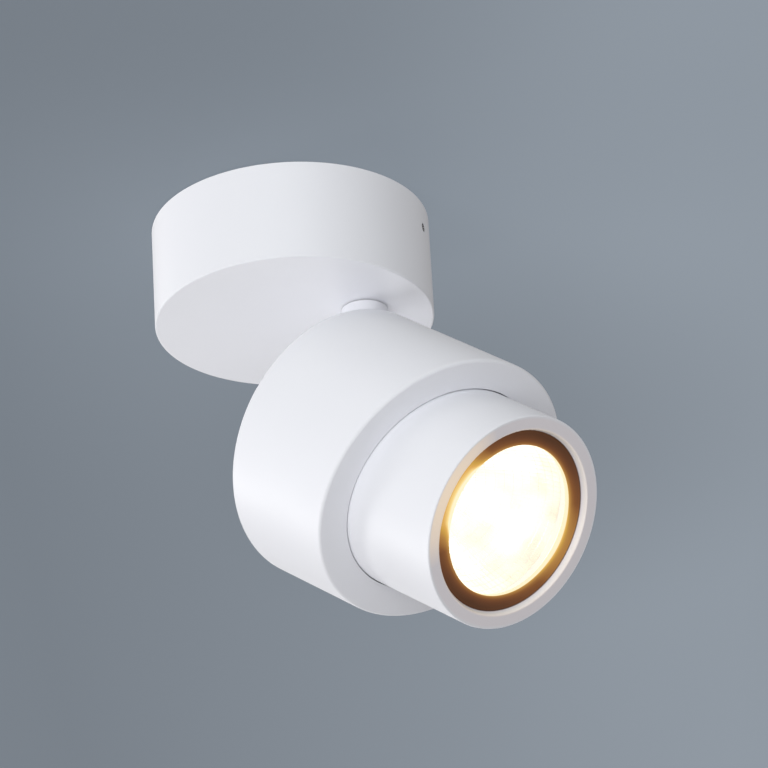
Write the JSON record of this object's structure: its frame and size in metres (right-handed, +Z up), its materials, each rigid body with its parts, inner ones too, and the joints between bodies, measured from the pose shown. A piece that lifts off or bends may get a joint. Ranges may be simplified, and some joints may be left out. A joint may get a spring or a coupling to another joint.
{
  "type": "surface mounted ceiling spotlight",
  "caption": "Surface mounted ceiling spotlight: round driver canopy, off-centre stem, panning and tilting round head with a sliding lens barrel.",
  "frame": {"origin": "centre of the canopy's ceiling face, midway between the two ceiling screw slots", "axes": "+Z up into the ceiling; Y along the bracket strap and its side screws, with the stem off centre towards -Y; X across the strap"},
  "size_m": [0.1112, 0.1574, 0.1728],
  "materials": {
    "white_coat": "fine matte white powder coat over die-cast aluminium",
    "zinc_steel": "zinc plated steel",
    "bright_screw": "stainless steel screw, polished socket",
    "cast_aluminium": "plain die-cast aluminium, lightly blasted",
    "brass": "plain brass",
    "black_plastic": "matte black moulded plastic",
    "lens_clear": "clear optical plastic",
    "bright_reflector": "vacuum metallised facets",
    "silicone": "translucent silicone",
    "nylon": "natural nylon",
    "driver_plastic": "moulded white plastic",
    "circuit_board": "green solder mask",
    "led_ceramic": "white ceramic",
    "phosphor": "yellow phosphor gel",
    "ferrite": "dark ferrite core with taped winding",
    "capacitor_sleeve": "shrink sleeve",
    "lead_sheath": "white flexible sheath",
    "wire_blue": "blue insulated wire"
  },
  "bodies": {
    "canopy": {"canopy_cup": "white_coat", "ceiling_bracket": "zinc_steel", "side_screws": "bright_screw", "earth_screw": "brass", "driver_case": "driver_plastic", "driver_cover": "driver_plastic", "driver_board": "circuit_board", "driver_transformer": "ferrite", "driver_capacitors": "capacitor_sleeve", "driver_screws": "zinc_steel", "terminal_block": "driver_plastic", "terminal_screws": "brass", "driver_input_wires": "wire_blue", "lead_in_canopy": "lead_sheath"},
    "swivel": {"swivel_arm": "white_coat", "pan_washer": "nylon", "stop_washer": "zinc_steel", "spring_washer": "zinc_steel", "stem_nut": "zinc_steel", "lead_in_arm": "lead_sheath"},
    "head": {"head_shell": "white_coat", "rear_cover": "white_coat", "rear_cover_screws": "bright_screw", "heat_sink": "cast_aluminium", "heat_sink_screws": "zinc_steel", "tilt_bracket": "zinc_steel", "bracket_screws": "zinc_steel", "tilt_bolt": "zinc_steel", "tilt_nut": "zinc_steel", "tilt_washers": "nylon", "thermal_pad": "silicone", "led_board": "led_ceramic", "led_emitter": "phosphor", "led_holder": "driver_plastic", "holder_screws": "zinc_steel", "lead_in_head": "lead_sheath", "glide_ring": "nylon"},
    "barrel": {"barrel_tube": "white_coat", "glare_ring": "black_plastic", "lens": "lens_clear", "lens_seal": "silicone", "reflector": "bright_reflector", "reflector_clip": "zinc_steel"}
  },
  "joints": [
    {"name": "pan", "type": "hinge", "parent": "canopy", "child": "swivel", "pos_m": [0, -0.02625, -0.038], "axis": [0, 0, 1], "range_deg": [-140.8, 184.8]},
    {"name": "tilt", "type": "hinge", "parent": "swivel", "child": "head", "pos_m": [0, -0.02625, -0.0917], "axis": [-0.9272, 0.3746, 0], "range_deg": [-52.5, 37.5]},
    {"name": "zoom", "type": "slide", "parent": "head", "child": "barrel", "axis": [-0.2972, -0.7356, -0.6088], "range_m": [-0.0115, 0.0005]}
  ]
}
